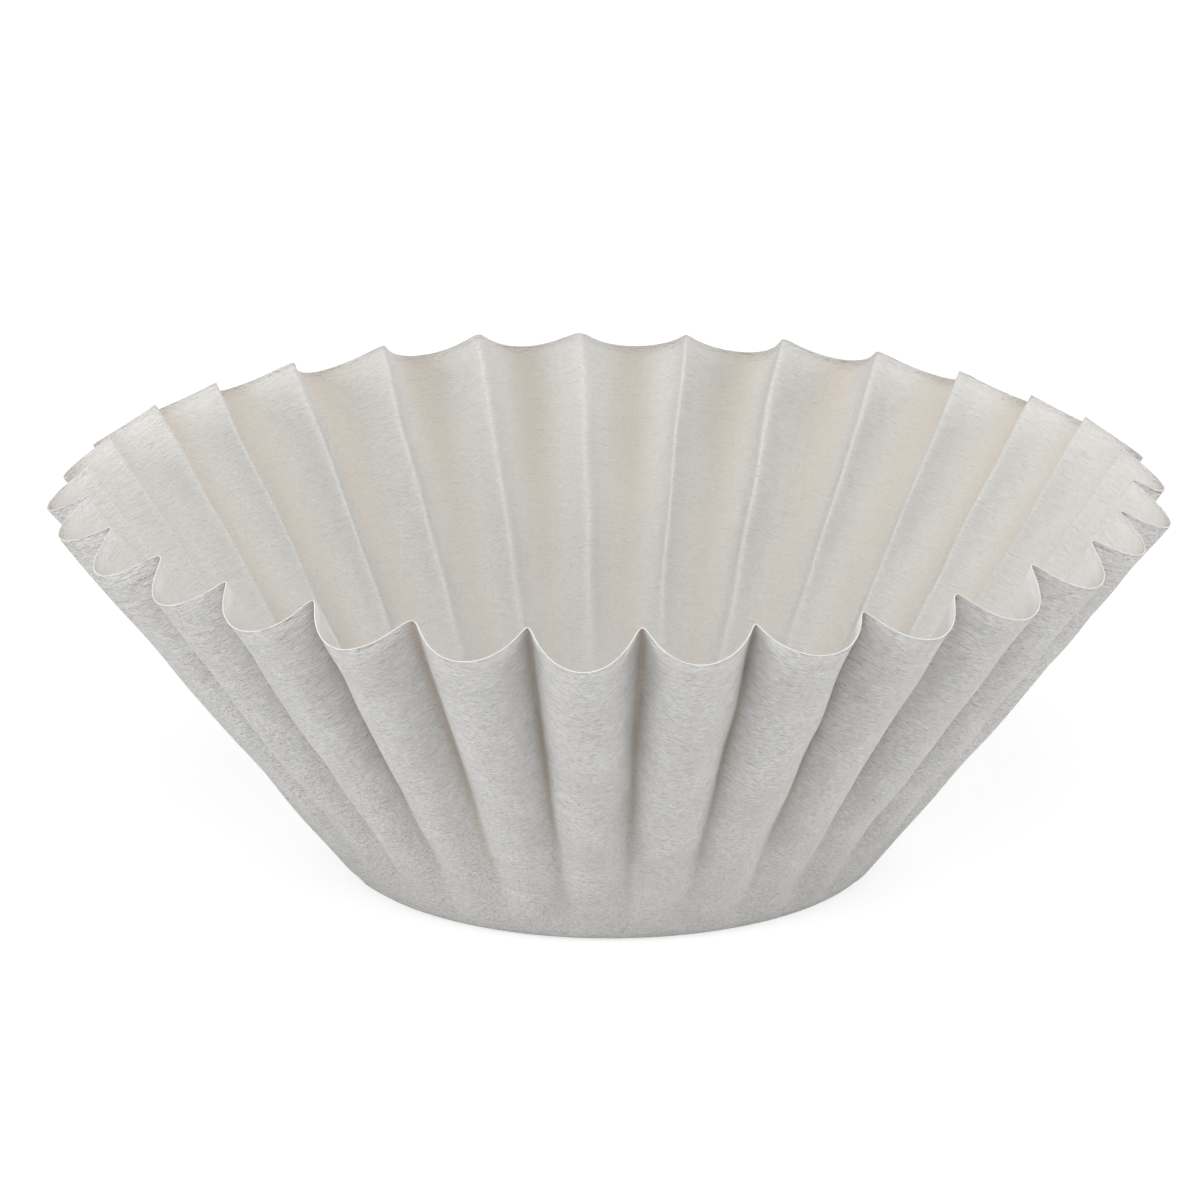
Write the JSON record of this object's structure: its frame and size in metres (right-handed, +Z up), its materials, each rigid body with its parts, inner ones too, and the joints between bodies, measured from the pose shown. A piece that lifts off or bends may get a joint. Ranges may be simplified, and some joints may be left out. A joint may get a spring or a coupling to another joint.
{
  "type": "paper coffee filter",
  "caption": "Flat-bottomed paper basket coffee filter with a fluted, outward-sloping wall, open at the top.",
  "frame": {"origin": "centre of the bottom's underside, on the surface that the filter stands on", "axes": "+Z up the filter's axis, from the bottom to the open rim; a valley of the wall faces -Y"},
  "size_m": [0.1906, 0.1896, 0.0686],
  "materials": {
    "filter_paper": "matte, crimped, slightly see-through"
  },
  "bodies": {
    "root": {"coffee_filter": "filter_paper"}
  },
  "joints": []
}
